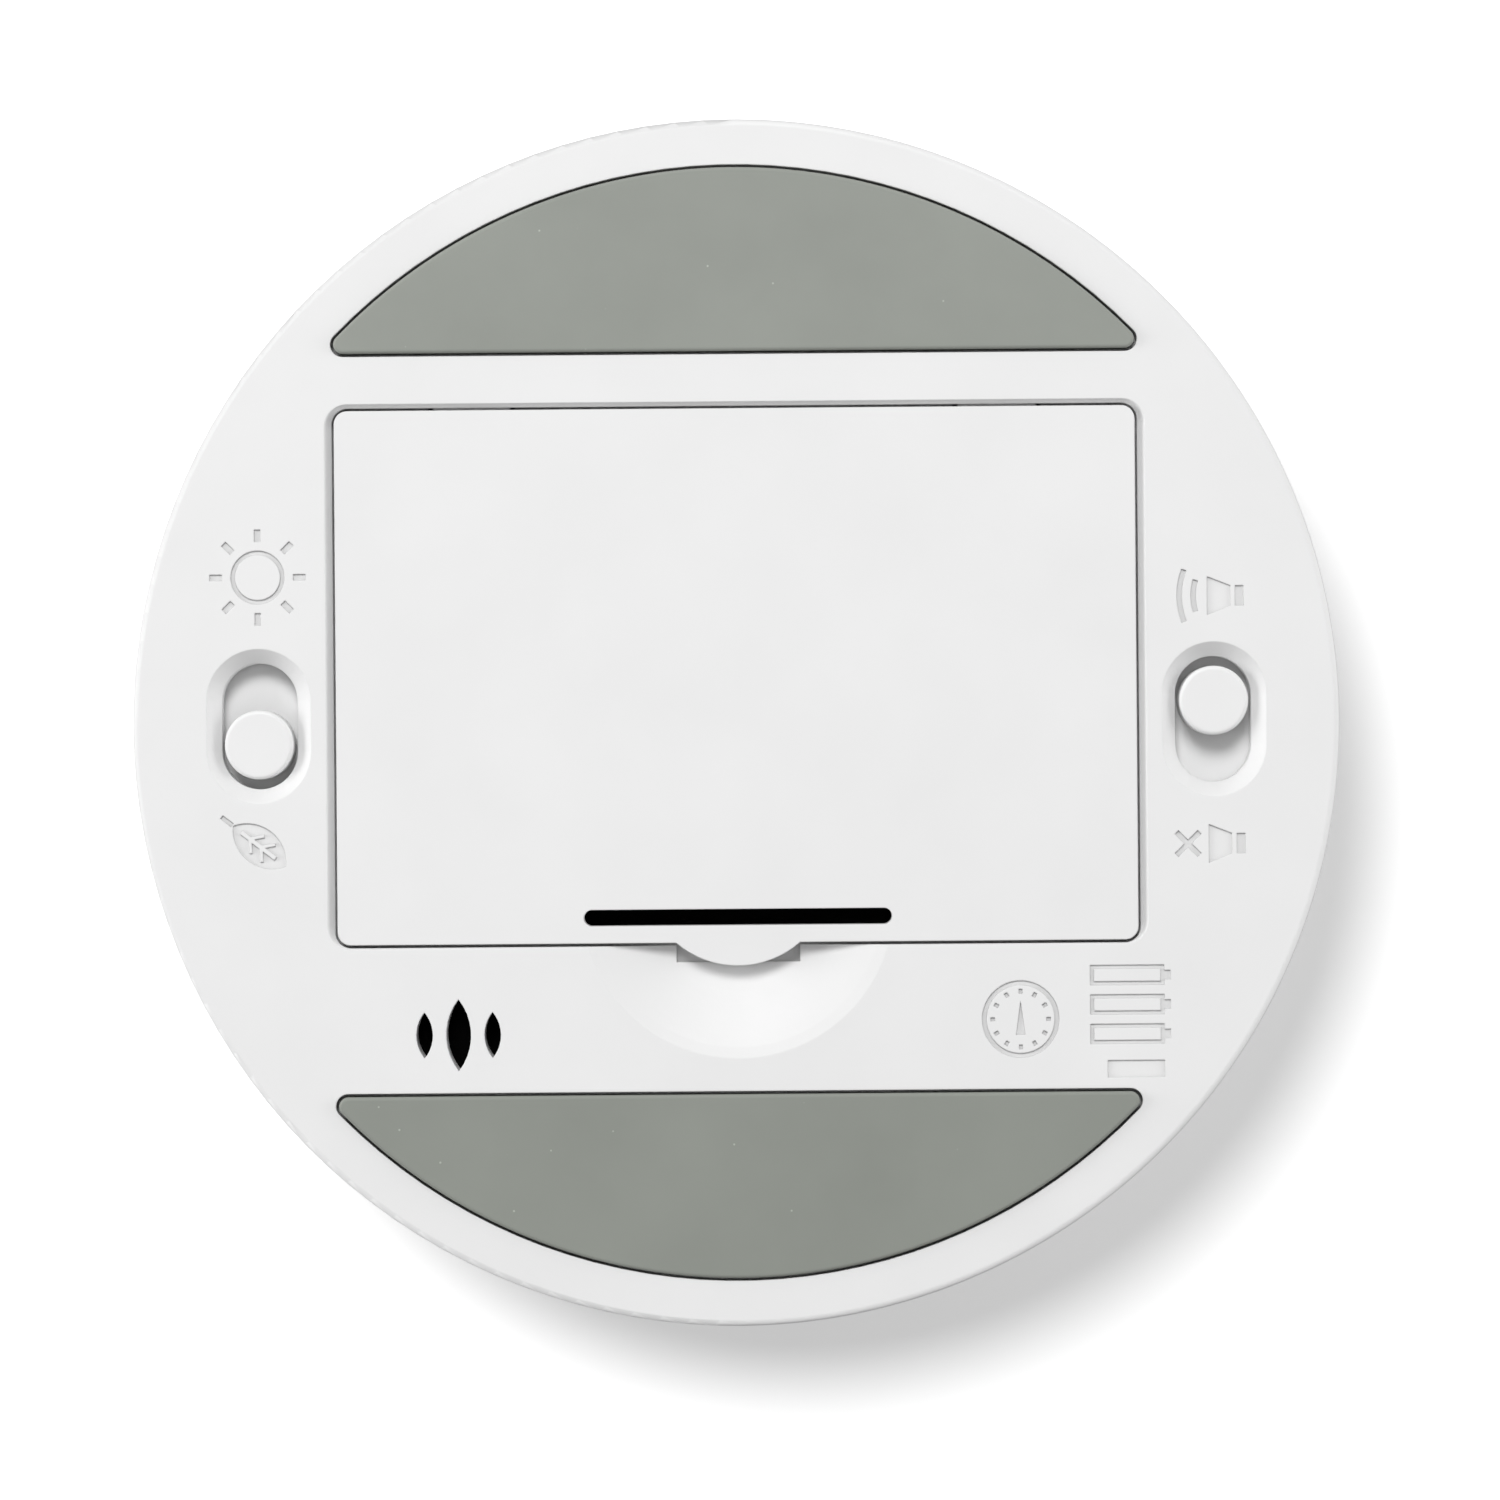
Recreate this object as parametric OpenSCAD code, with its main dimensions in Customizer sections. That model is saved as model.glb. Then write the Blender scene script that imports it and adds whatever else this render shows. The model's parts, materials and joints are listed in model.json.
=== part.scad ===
// Palm-size digital timer that lies on two rubber pads. The underside holds the battery door, two slide
// switches and the sound outlet. The dial ring turns round a fixed face with a lit display and a button.
// The origin is on the table under the centre, +Z is up, and +Y is the top edge of the display.

/* [Body] */
// Outside diameter of the lower housing
body_d = 78; // [78:0.1:79]
// Height of the lower housing's rim above the table
rim_z = 15; // [15:0.05:15.2]
// Thickness of the housing's side wall
wall = 1.8; // [1.6:0.1:1.9]
// Thickness of the housing's floor
floor_t = 2.2; // [2.2:0.05:2.3]
// Radius of the housing's soft lower edge
edge_r = 0.4; // [0.3:0.1:0.9]
// Depth of the engraved marks
mark_depth = 0.12; // [0.1:0.02:0.3]

/* [Rubber pads] */
// Radius of the pads' outer arc
pad_r = 35.85; // [35.8:0.05:36.1]
// Distance from the centre to the pads' straight edge
pad_chord = 24; // [23.9:0.1:24.2]
// Thickness of a pad
pad_t = 1.6; // [1.5:0.05:1.65]
// How far the pads stand proud of the housing
pad_proud = 0.4; // [0.35:0.05:0.45]
// Gap round a pad in its recess
pad_gap = 0.2; // [0.15:0.05:0.3]
// Radius of a pad's corners
pad_corner = 0.6; // [0.5:0.1:0.8]

/* [Battery door] */
// Width of the door
door_w = 51.7; // [51.5:0.1:51.8]
// Length of the door from its hooks to its latch
door_l = 34.5; // [34.4:0.1:34.7]
// Thickness of the door
door_t = 1.6; // [1.5:0.05:1.6]
// Radius of the door's corners
door_r = 0.85; // [0.7:0.05:0.95]
// Gap between the door and its opening
door_gap = 0.2; // [0.18:0.01:0.25]
// Width of the bevel round the door's opening
door_bevel = 0.5; // [0.4:0.05:0.55]
// Length of the slot that frees the latch strip
flex_l = 19.9; // [18:0.1:21]
// Width of that slot
flex_w = 1.05; // [0.9:0.05:1.2]
// How far the thumb tab stands out from the door's edge
tab_out = 1.5; // [1.35:0.05:1.6]
// Width of the thumb tab where it leaves the edge
tab_w = 8; // [7.6:0.1:8.4]

/* [Finger scoop] */
// Radius of the scoop's outline
scoop_r = 10.1; // [10:0.05:10.5]
// Depth of the scoop
scoop_depth = 1.9; // [1.6:0.1:2]

/* [Slide switches] */
// Distance of the knobs from the centre line
knob_x = 30.85; // [30.8:0.05:30.9]
// Diameter of a knob
knob_d = 4.46; // [4.3:0.02:4.5]
// Travel of a knob
knob_travel = 2.4; // [2.3:0.05:2.5]
// Width of a knob's slot
slot_w = 4.9; // [4.8:0.05:4.95]
// Width of the bevel round a slot
slot_bevel = 0.92; // [0.8:0.02:1]

/* [Batteries] */
// Diameter of an AAA cell
cell_d = 10.5; // [10.3:0.1:10.5]
// Length of an AAA cell with its nub
cell_l = 44.5; // [44.3:0.1:44.5]
// Distance from one cell to the next
cell_pitch = 10.9; // [10.8:0.05:11]

/* [Dial ring] */
// Outside diameter of the dial ring
ring_d = 77.2; // [77:0.1:77.4]
// Height of the dial ring's top edge above the table
ring_top = 25.8; // [25.7:0.1:25.9]
// Number of grip flutes
flutes = 60; // [48:12:72]
// Number of teeth of the ring's internal gear
ring_teeth = 96; // [96]
// Number of teeth of the encoder's pinion
pinion_teeth = 16; // [16]

/* [Face] */
// Width of the display window
window_w = 44; // [42:0.5:46]
// Height of the display window
window_h = 17; // [16:0.5:18]
// Diameter of the start button
button_d = 12; // [11:0.5:13]
// Travel of the start button
button_travel = 0.5; // [0.3:0.1:0.5]
// Number of ticks round the face
face_ticks = 12; // [12:12:60]

/* [Hidden] */
$fn = 96;
eps = 0.5;                                  // overshoot of a cutter past the face that it cuts

body_r = body_d / 2;
under_z = pad_proud;                        // the housing's underside
floor_z = under_z + floor_t;                // the inside face of its floor
pad_floor_z = pad_t;                        // the bottom of a pad's recess
wall_r = body_r - wall;

door_mid = 3.05;                            // Y of the door's middle
door_x = door_w / 2;
door_y0 = door_mid - door_l / 2;
door_y1 = door_mid + door_l / 2;
door_top_z = under_z + door_t;
hinge_y = door_y1 + 0.1;                    // the line that the door turns about on its hooks
hinge_z = under_z + 0.1;
flex_y = door_y0 + 1.64;                    // the middle of the flex slot
tab_r = (tab_w * tab_w / 4 + tab_out * tab_out) / (2 * tab_out);
hook_x = 17;                                // X of the door's two hooks
hook_w = 5;
hook_t = 0.55;
hook_reach = 1.7;                           // how far a hook goes past the hinge line
nib_w = 6.4;                                // the latch nib behind the thumb tab
nib_out = 0.6;
nib_t = 0.45;
scoop_back = 2.6;                           // how far the scoop's middle lies behind the door's edge
notch_out = 1.3;                            // depth of the notch that the tab's finger edge stands in

cell_z = door_top_z + 0.5 + cell_d / 2;
bay_mid = 2.75;                             // Y of the middle cell
bay_x = 25;                                 // half the length of the battery bay
bay_y0 = bay_mid - cell_pitch - cell_d / 2 - 0.4;
bay_y1 = bay_mid + cell_pitch + cell_d / 2 + 0.4;
bay_roof_z = cell_z + cell_d / 2 + 0.4;
bay_wall = 1.6;
roof_t = 1.2;
plate_x = bay_x - 0.05;                     // outer face of the contact plates
plate_t = 0.3;
nub_l = 1;
cell_end = plate_x - plate_t - 1.3;         // tip of a cell's nub
cell_back = cell_l - cell_end;              // distance of its flat end from the centre
plate_half = 4.2;                           // half the width of a contact plate
tail_w = 1.5;                               // width of a solder tail
spring_turns = 4;
spring_base = 0.3;                          // where a spring's first turn lies over its plate
spring_l = plate_x - plate_t - cell_back - 2 * spring_base;

chassis_z = rim_z - 0.2;                    // underside of the chassis plate
chassis_t = 1.4;
chassis_top = chassis_z + chassis_t;
tube_r = 33.2;                              // outside of the bearing tube that the ring turns on
tube_t = 1.4;
tube_top = 24.4;
ledge_t = 0.9;
board_z = chassis_top + 0.6;                // underside of the main board
board_t = 1.2;
board_top = board_z + board_t;
board_r = 31;
tail_top = board_top + 0.4;

ring_r = ring_d / 2;
ring_z = rim_z + 0.4;
lip_z = ring_top - 1.2;
cover_z = lip_z + 0.3;                      // underside of the front cover
cover_t = 1.7;
cover_top = cover_z + cover_t;
cover_r = 36.3;

gear_m = 0.72;                              // gear module
ring_pitch_r = gear_m * ring_teeth / 2;
pinion_pitch_r = gear_m * pinion_teeth / 2;
pinion_x = -(ring_pitch_r - pinion_pitch_r);
gear_z0 = 20.2;
gear_z1 = 22.8;

knob_rest = knob_travel / 2;
slider_z = floor_z + 0.2;                   // outside face of a knob's slider plate, inside the floor
slider_t = 1;
slot_l = slot_w + knob_travel + 0.85;
switch_z = 5.2;                             // underside of a slide switch's can
small_board_z = 8.4;
small_board_t = 1.2;

window_y = 6;
display_w = window_w - 4;
display_h = window_h - 4;
display_z = cover_top - 1.4;                // front of the display module, just under the window
button_y = -17;
button_foot_z = cover_z - 2.9;              // lower end of the foot that presses the plunger
plunger_z = board_top + 2.9;
digit_h = 9.4;
digit_w = 5.6;
segment_t = 1.15;

leads_x = 28.6;                             // where the leads of the switch boards rise
leads_y = -9;
tick_r = [31.6, 34.4];                      // where the ticks of the face begin and end
tick_w = 0.5;
icon_depth = 0.15;                          // depth of the face's ticks and of the button's icon
small_post = [30.5, 10.5];                  // the posts that carry the switch boards
chip_at = [15, -15];

screw_spots = [[14, 30], [-14, 30], [14, -30], [-14, -30]];
cover_spots = [[16, 24.5], [-16, 24.5], [0, -28.5]];
boss_z = 9.5;                               // where the housing's and the chassis's screw bosses meet
sounder_x = 18;
sounder_y = -20.4;

// ---- shared shapes ----

// A block from its low corner to its high corner
module block(a, b) {
    translate(a) cube(b - a);
}

// A block whose four upright edges are rounded
module rounded_block(a, b, r) {
    block(a + [r, 0, 0], b - [r, 0, 0]);
    block(a + [0, r, 0], b - [0, r, 0]);
    for (x = [a.x + r, b.x - r], y = [a.y + r, b.y - r])
        translate([x, y, a.z]) cylinder(r = r, h = b.z - a.z);
}

// The same block flaring outwards by grow at its low face
module flared_block(a, b, r, grow) {
    translate([a.x + r, 0, 0]) rotate([90, 0, 90]) linear_extrude(b.x - a.x - 2 * r)
        polygon([[a.y - grow, a.z], [b.y + grow, a.z], [b.y, b.z], [a.y, b.z]]);
    translate([0, b.y - r, 0]) rotate([90, 0, 0]) linear_extrude(b.y - a.y - 2 * r)
        polygon([[a.x - grow, a.z], [b.x + grow, a.z], [b.x, b.z], [a.x, b.z]]);
    for (x = [a.x + r, b.x - r], y = [a.y + r, b.y - r])
        translate([x, y, a.z]) cylinder(r1 = r + grow, r2 = r, h = b.z - a.z);
}

// A slot with round ends along Y, which may flare from r1 at the bottom to r2 at the top
module stadium(l, r1, r2, z0, z1) {
    half = l / 2 - min(r1, r2);
    for (s = [-1, 1]) translate([0, s * half, z0]) cylinder(r1 = r1, r2 = r2, h = z1 - z0);
    translate([0, half, 0]) rotate([90, 0, 0]) linear_extrude(2 * half)
        polygon([[-r1, z0], [r1, z0], [r2, z1], [-r2, z1]]);
}

// A pointed oval between two arcs, w wide and l long
module pointed_oval(w, l, z0, z1) {
    arc_r = (l * l + w * w) / (4 * w);
    intersection() {
        translate([w / 2 - arc_r, 0, z0]) cylinder(r = arc_r, h = z1 - z0, $fn = 200);
        translate([arc_r - w / 2, 0, z0]) cylinder(r = arc_r, h = z1 - z0, $fn = 200);
    }
}

// The outline of a pad, grown by grow on every side
module pad_shape(grow, z0, z1) {
    mid_y = pad_chord + pad_corner;
    mid_d = pad_r - pad_corner;
    mid_x = sqrt(mid_d * mid_d - mid_y * mid_y);
    outer = pad_r + grow;
    beyond = [mid_x, mid_y] * 1.1;
    difference() {
        translate([0, 0, z0]) cylinder(r = outer, h = z1 - z0, $fn = 180);
        block([-outer - eps, -outer - eps, z0 - eps], [outer + eps, pad_chord - grow, z1 + eps]);
        for (s = [0, 1]) mirror([s, 0, 0]) translate([0, 0, z0 - eps]) linear_extrude(z1 - z0 + 2 * eps)
            polygon([[mid_x, pad_chord - 2], [mid_x, mid_y], beyond,
                     [outer + 2, beyond.y], [outer + 2, pad_chord - 2]]);
    }
    for (s = [-1, 1]) translate([s * mid_x, mid_y, z0]) cylinder(r = pad_corner + grow, h = z1 - z0);
}

// A ring between two radii
module ring(r_out, r_in, z0, z1) {
    difference() {
        translate([0, 0, z0]) cylinder(r = r_out, h = z1 - z0, $fn = 180);
        translate([0, 0, z0 - eps]) cylinder(r = r_in, h = z1 - z0 + 2 * eps, $fn = 180);
    }
}

// ---- engraved marks, drawn as seen from below, so that right in a module is -X on the part ----

module as_seen_from_below() {
    mirror([1, 0, 0]) translate([0, 0, under_z - eps]) linear_extrude(mark_depth + eps) children();
}

module bar(x0, x1, y0, y1) {
    translate([x0, y0]) square([x1 - x0, y1 - y0]);
}

// Sun: full brightness
module sun_mark() {
    difference() {
        circle(r = 1.74);
        circle(r = 1.46);
    }
    for (i = [0 : 7]) rotate(45 * i) bar(2.3, 3.1, -0.2, 0.2);
}

// Leaf: economy brightness
module leaf_mark() {
    rotate(-38) difference() {
        intersection() {
            translate([0, -1.35]) circle(r = 2.55);
            translate([0, 1.35]) circle(r = 2.55);
        }
        bar(-1.5, 1.3, -0.14, 0.14);
        for (x = [-0.8, 0.1]) translate([x, 0]) rotate(48) bar(0, 0.95, -0.1, 0.1);
        for (x = [-0.8, 0.1]) translate([x, 0]) rotate(-48) bar(0, 0.95, -0.1, 0.1);
    }
    rotate(-38) bar(-3.1, -2.2, -0.14, 0.14);
}

// The horn of a loudspeaker, with its wide side towards -x
module speaker_mark() {
    polygon([[-0.85, 1.25], [0.65, 0.65], [0.65, -0.65], [-0.85, -1.25]]);
    bar(0.95, 1.5, -0.65, 0.65);
}

// An arc of sound, centred on the origin
module arc_mark(r, half_angle) {
    intersection() {
        difference() {
            circle(r = r + 0.17);
            circle(r = r - 0.17);
        }
        polygon([[0, 0], [-2 * r, 2 * r * tan(half_angle)], [-2 * r, -2 * r * tan(half_angle)]]);
    }
}

module sound_on_mark() {
    translate([0.65, 0]) speaker_mark();
    translate([2.6, 0]) arc_mark(3.7, 16);
    translate([2.7, 0]) arc_mark(4.7, 21);
}

module sound_off_mark() {
    translate([0.85, 0]) speaker_mark();
    translate([-1.35, 0]) for (a = [45, -45]) rotate(a) bar(-1.05, 1.05, -0.17, 0.17);
}

// Date dial of the mould: a ring, twelve ticks and a pointer
module mould_date_mark() {
    difference() {
        circle(r = 2.5);
        circle(r = 2.2);
    }
    for (i = [0 : 11]) rotate(30 * i) bar(1.65, 1.95, -0.12, 0.12);
    polygon([[-0.3, -1], [0.3, -1], [0, 1.2]]);
}

// Outline of a cell, three times, for the number and size of the batteries
module cells_mark() {
    for (y = [-1.9, 0, 1.9]) translate([0, y]) {
        difference() {
            bar(-2.6, 2.2, -0.65, 0.65);
            bar(-2.35, 1.95, -0.4, 0.4);
        }
        bar(2.2, 2.6, -0.3, 0.3);
    }
}

module marks() {
    as_seen_from_below() {
        translate([-knob_x, 9.6]) sun_mark();
        translate([-knob_x, -7.75]) leaf_mark();
        translate([knob_x - 0.2, 7.95]) sound_on_mark();
        translate([knob_x - 0.4, -8.05]) sound_off_mark();
        translate([18.2, -19.3]) mould_date_mark();
        translate([25.3, -18.4]) cells_mark();
        bar(23.8, 27.5, -23.1, -22.0);
    }
}

// ---- lower housing ----

module door_opening() {
    low = [-door_x - door_gap, door_y0 - door_gap, 0];
    high = [door_x + door_gap, door_y1 + door_gap, 0];
    r = door_r + door_gap;
    rounded_block(low, high + [0, 0, door_top_z + 0.1], r);
    flared_block(low + [0, door_bevel * 0.7, under_z - 0.1],
                 high + [0, -door_bevel * 0.4, under_z + door_bevel + 0.2], r, door_bevel);
    block([-bay_x, bay_y0, 0], [bay_x, bay_y1, bay_roof_z]);
    // notch behind the thumb tab, which the latch nib swings through
    block([-tab_w / 2, door_y0 - notch_out, 0], [tab_w / 2, door_mid, door_top_z + 0.1]);
    // pockets that the door's hooks turn in
    hook_r = norm([hook_reach, door_top_z - hinge_z]);
    for (s = [-1, 1]) translate([s * hook_x, 0, 0])
        block([-hook_w / 2 - 0.3, bay_y1 - 0.3, door_top_z - hook_t - 0.15],
              [hook_w / 2 + 0.3, hinge_y + hook_r + 0.2, hinge_z + hook_r + 0.3]);
}

// Half the section of the finger scoop, from its middle out to its rim
function scoop_profile(steps) = [for (i = [0 : steps]) let (u = i / steps)
    [scoop_r * u, under_z + scoop_depth * pow(1 - u * u, 1.3)]];

module scoop_cutter() {
    translate([0, door_y0 + scoop_back, 0]) rotate_extrude($fn = 120)
        polygon(concat([[0, under_z - 1]], scoop_profile(14), [[scoop_r, under_z - 1]]));
}

// A knob's slot with the bevel round it
module knob_cutter(side) {
    translate([side * knob_x, 0, 0]) {
        stadium(slot_l, slot_w / 2, slot_w / 2, 0, floor_z + eps);
        stadium(slot_l, slot_w / 2 + slot_bevel + 0.1, slot_w / 2, under_z - 0.1, under_z + slot_bevel);
    }
}

module sound_holes() {
    for (i = [-1 : 1]) translate([sounder_x + 0.1 + 2.2 * i, sounder_y + 0.35, 0])
        pointed_oval(i == 0 ? 1.61 : 1.07, i == 0 ? 4.65 : 2.97, 0, floor_z + eps);
}

module base_housing() {
    color([0.92, 0.92, 0.92]) difference() {
        union() {
            difference() {
                rotate_extrude($fn = 180) {
                    translate([0, under_z]) square([body_r - edge_r, rim_z - under_z]);
                    translate([0, under_z + edge_r]) square([body_r, rim_z - under_z - edge_r]);
                    translate([body_r - edge_r, under_z + edge_r]) circle(r = edge_r, $fn = 48);
                }
                translate([0, 0, floor_z]) cylinder(r = wall_r, h = rim_z, $fn = 180);
            }
            ring(wall_r + 0.2, wall_r - ledge_t, chassis_z - 1.2, chassis_z);
            block([-bay_x - bay_wall, bay_y0 - bay_wall, floor_z - 0.1],
                  [bay_x + bay_wall, bay_y1 + bay_wall, bay_roof_z + roof_t]);
            for (p = screw_spots) translate([p.x, p.y, floor_z - 0.1])
                cylinder(r = 3.4, h = boss_z - floor_z + 0.1);
            for (x = [-small_post.x, small_post.x], y = [-small_post.y, small_post.y])
                translate([x, y, floor_z - 0.1]) {
                    cylinder(r = 1.6, h = small_board_z - floor_z + 0.1);
                    cylinder(r = 0.8, h = small_board_z - floor_z + 2);
                }
            intersection() {
                translate([0, door_y0 + scoop_back, floor_z - 0.1]) cylinder(r = scoop_r + 1, h = 1);
                block([-20, -30, floor_z - 0.1], [20, bay_y0, floor_z + 2]);
            }
            translate([sounder_x, sounder_y, 0]) ring(5.4, 4.6, floor_z - 0.1, floor_z + 2);
        }
        door_opening();
        scoop_cutter();
        for (s = [0, 1]) mirror([0, s, 0]) pad_shape(pad_gap, 0, pad_floor_z);
        for (s = [-1, 1]) knob_cutter(s);
        sound_holes();
        marks();
        for (p = screw_spots) translate([p.x, p.y, 0]) {
            cylinder(r = 2.5, h = boss_z - 1.5);
            cylinder(r = 1.4, h = boss_z + eps);
        }
        terminal_slots(bay_roof_z - eps, bay_roof_z + roof_t + eps);
    }
}

module battery_door() {
    color([0.92, 0.92, 0.92]) difference() {
        union() {
            rounded_block([-door_x, door_y0, under_z], [door_x, door_y1, door_top_z], door_r);
            // thumb tab
            translate([0, door_y0 - tab_out + tab_r, under_z]) cylinder(r = tab_r, h = door_t - 0.5);
            // latch nib behind the tab
            block([-nib_w / 2, door_y0 - nib_out, door_top_z - nib_t],
                  [nib_w / 2, door_y0 + 0.5, door_top_z]);
            // hooks
            for (s = [-1, 1]) translate([s * hook_x, 0, 0])
                block([-hook_w / 2, door_y1 - 1, door_top_z - hook_t],
                      [hook_w / 2, hinge_y + hook_reach, door_top_z]);
        }
        translate([0, flex_y, 0]) rotate([0, 0, 90])
            stadium(flex_l, flex_w / 2, flex_w / 2, 0, door_top_z + eps);
    }
}

module pad_upper() {
    color([0.6, 0.61, 0.58]) pad_shape(0, 0, pad_floor_z - 0.02);
}

module pad_lower() {
    color([0.57, 0.58, 0.55]) mirror([0, 1, 0]) pad_shape(0, 0, pad_floor_z - 0.02);
}

// ---- batteries and their contacts ----

// A cell on row i, with its nub towards +X, or towards -X on the middle row
module cell(i) {
    color([0.08, 0.08, 0.09]) translate([0, bay_mid + (i - 1) * cell_pitch, cell_z])
        rotate([0, i == 1 ? -90 : 90, 0]) {
            translate([0, 0, -cell_back]) cylinder(d = cell_d, h = cell_l - nub_l);
            translate([0, 0, -cell_back]) cylinder(d = 3.8, h = cell_l);
        }
}

module battery_1() {
    cell(0);
}

module battery_2() {
    cell(1);
}

module battery_3() {
    cell(2);
}

// Points along a cone-shaped contact spring: t runs from 0 at the plate to 1 at the cell
function spring_r(t) = 3.4 - 1.2 * t;
function spring_point(t) = [spring_r(t) * cos(360 * spring_turns * t),
                            spring_r(t) * sin(360 * spring_turns * t), spring_base + spring_l * t];

// The spring's wire: rings of points round the spring's line, joined into one tube
module contact_spring() {
    sides = 8;
    rings = spring_turns * 16;
    wire_r = 0.25;
    points = [for (i = [0 : rings]) let (p = spring_point(i / rings), a = 360 * spring_turns * i / rings)
        for (j = [0 : sides - 1]) let (b = 360 * j / sides)
            p + wire_r * [cos(b) * cos(a), cos(b) * sin(a), sin(b)]];
    walls = [for (i = [0 : rings - 1], j = [0 : sides - 1]) let (k = (j + 1) % sides)
        [i * sides + k, (i + 1) * sides + k, (i + 1) * sides + j, i * sides + j]];
    caps = [[for (j = [sides - 1 : -1 : 0]) j], [for (j = [0 : sides - 1]) rings * sides + j]];
    polyhedron(points, concat(walls, caps));
}

// A contact plate on the side s of the bay, from row a to row b
module contact_plate(s, a, b) {
    y0 = bay_mid + (a - 1) * cell_pitch - plate_half;
    y1 = bay_mid + (b - 1) * cell_pitch + plate_half;
    translate([s > 0 ? plate_x - plate_t : -plate_x, 0, 0])
        block([0, y0, cell_z - plate_half], [plate_t, y1, cell_z + plate_half]);
}

module plate_spring(s, i) {
    translate([s * (plate_x - plate_t), bay_mid + (i - 1) * cell_pitch, cell_z])
        rotate([0, s > 0 ? -90 : 90, 0]) contact_spring();
}

module plate_bump(s, i) {
    translate([s * (plate_x - plate_t), bay_mid + (i - 1) * cell_pitch, cell_z])
        rotate([0, s > 0 ? -90 : 90, 0]) translate([0, 0, -0.1]) cylinder(r1 = 2.6, r2 = 1.6, h = 1.3);
}

// The solder tail that runs from a plate through the bay's roof to the main board
module plate_tail(s, i) {
    y = bay_mid + (i - 1) * cell_pitch;
    translate([s > 0 ? plate_x - plate_t : -plate_x, 0, 0])
        block([0, y - tail_w / 2, cell_z + plate_half - 0.2], [plate_t, y + tail_w / 2, tail_top]);
}

// The slots that the two tails pass through
module terminal_slots(z0, z1) {
    for (p = [[1, 0], [-1, 2]])
        translate([p[0] * (plate_x - plate_t / 2), bay_mid + (p[1] - 1) * cell_pitch, 0])
            block([-0.4, -1, z0], [0.4, 1, z1]);
}

module positive_terminal() {
    color([0.8, 0.78, 0.72]) {
        contact_plate(1, 0, 0);
        plate_bump(1, 0);
        plate_tail(1, 0);
    }
}

module negative_terminal() {
    color([0.8, 0.78, 0.72]) {
        contact_plate(-1, 2, 2);
        plate_tail(-1, 2);
        plate_spring(-1, 2);
    }
}

module link_contact_left() {
    color([0.8, 0.78, 0.72]) {
        contact_plate(-1, 0, 1);
        plate_bump(-1, 1);
        plate_spring(-1, 0);
    }
}

module link_contact_right() {
    color([0.8, 0.78, 0.72]) {
        contact_plate(1, 1, 2);
        plate_bump(1, 2);
        plate_spring(1, 1);
    }
}

// ---- slide switches ----

// A knob with its slider plate and the socket for the switch's lever
module slide_knob(side, y) {
    knob_z = under_z + 0.1;
    edge = 0.25;
    plate_top = slider_z + slider_t;
    color([0.93, 0.93, 0.93]) translate([side * knob_x, y, 0]) difference() {
        union() {
            rotate_extrude() {
                translate([0, knob_z]) square([knob_d / 2 - edge, slider_z - knob_z + 0.1]);
                translate([0, knob_z + edge]) square([knob_d / 2, slider_z - knob_z]);
                translate([knob_d / 2 - edge, knob_z + edge]) circle(r = edge, $fn = 32);
            }
            block([-3.2, -6.1, slider_z], [3.2, 6.1, plate_top]);
            block([-1.9, -2, plate_top - 0.1], [1.9, 2, switch_z - 0.3]);
        }
        block([-1.05, -1.05, plate_top + 0.1], [1.05, 1.05, switch_z]);
    }
}

module slide_lever(side, y) {
    color([0.12, 0.12, 0.13]) translate([side * knob_x, y, 0])
        block([-1, -1, slider_z + slider_t + 0.15], [1, 1, switch_z + 0.6]);
}

module slide_switch(side) {
    color([0.75, 0.76, 0.78]) translate([side * knob_x, 0, 0]) difference() {
        block([-2, -5, switch_z], [2, 5, small_board_z - 0.05]);
        block([-1.2, -1.2 - knob_rest, switch_z - eps], [1.2, 1.2 + knob_rest, switch_z + 0.8]);
    }
}

module switch_board(side) {
    color([0.12, 0.36, 0.22]) difference() {
        translate([side * small_post.x, 0, 0])
            block([-3.4, -12.5, small_board_z], [3.4, 12.5, small_board_z + small_board_t]);
        for (s = [-1, 1]) translate([side * small_post.x, s * small_post.y, 0]) cylinder(r = 0.85, h = 20);
    }
}

// Three stiff leads from a switch board up to the main board
module switch_leads(side) {
    z0 = small_board_z + small_board_t + 0.02;
    color([0.8, 0.35, 0.2]) for (i = [-1 : 1]) translate([side * leads_x, leads_y + 1.4 * i, z0])
        cylinder(r = 0.35, h = board_z - z0 - 0.04, $fn = 24);
}

module brightness_knob() {
    slide_knob(1, -knob_rest);
}

module brightness_lever() {
    slide_lever(1, -knob_rest);
}

module brightness_switch() {
    slide_switch(1);
}

module brightness_board() {
    switch_board(1);
}

module brightness_leads() {
    switch_leads(1);
}

module sound_knob() {
    slide_knob(-1, knob_rest);
}

module sound_lever() {
    slide_lever(-1, knob_rest);
}

module sound_switch() {
    slide_switch(-1);
}

module sound_board() {
    switch_board(-1);
}

module sound_leads() {
    switch_leads(-1);
}

// ---- sounder ----

module sounder() {
    color([0.1, 0.1, 0.11]) translate([sounder_x, sounder_y, 0]) difference() {
        translate([0, 0, floor_z + 0.35]) cylinder(r = 4.5, h = 4);
        translate([0, 0, floor_z]) cylinder(r = 1, h = 1);
    }
}

module sounder_mesh() {
    color([0.05, 0.05, 0.05]) translate([sounder_x, sounder_y, floor_z + 0.02]) cylinder(r = 4.5, h = 0.3);
}

module sounder_leads() {
    z0 = floor_z + 4.37;
    color([0.7, 0.1, 0.1]) for (x = [-1.2, 1.2]) translate([sounder_x + x, sounder_y, z0])
        cylinder(r = 0.4, h = board_z - z0 - 0.04, $fn = 24);
}

// ---- chassis, boards and display ----

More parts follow.
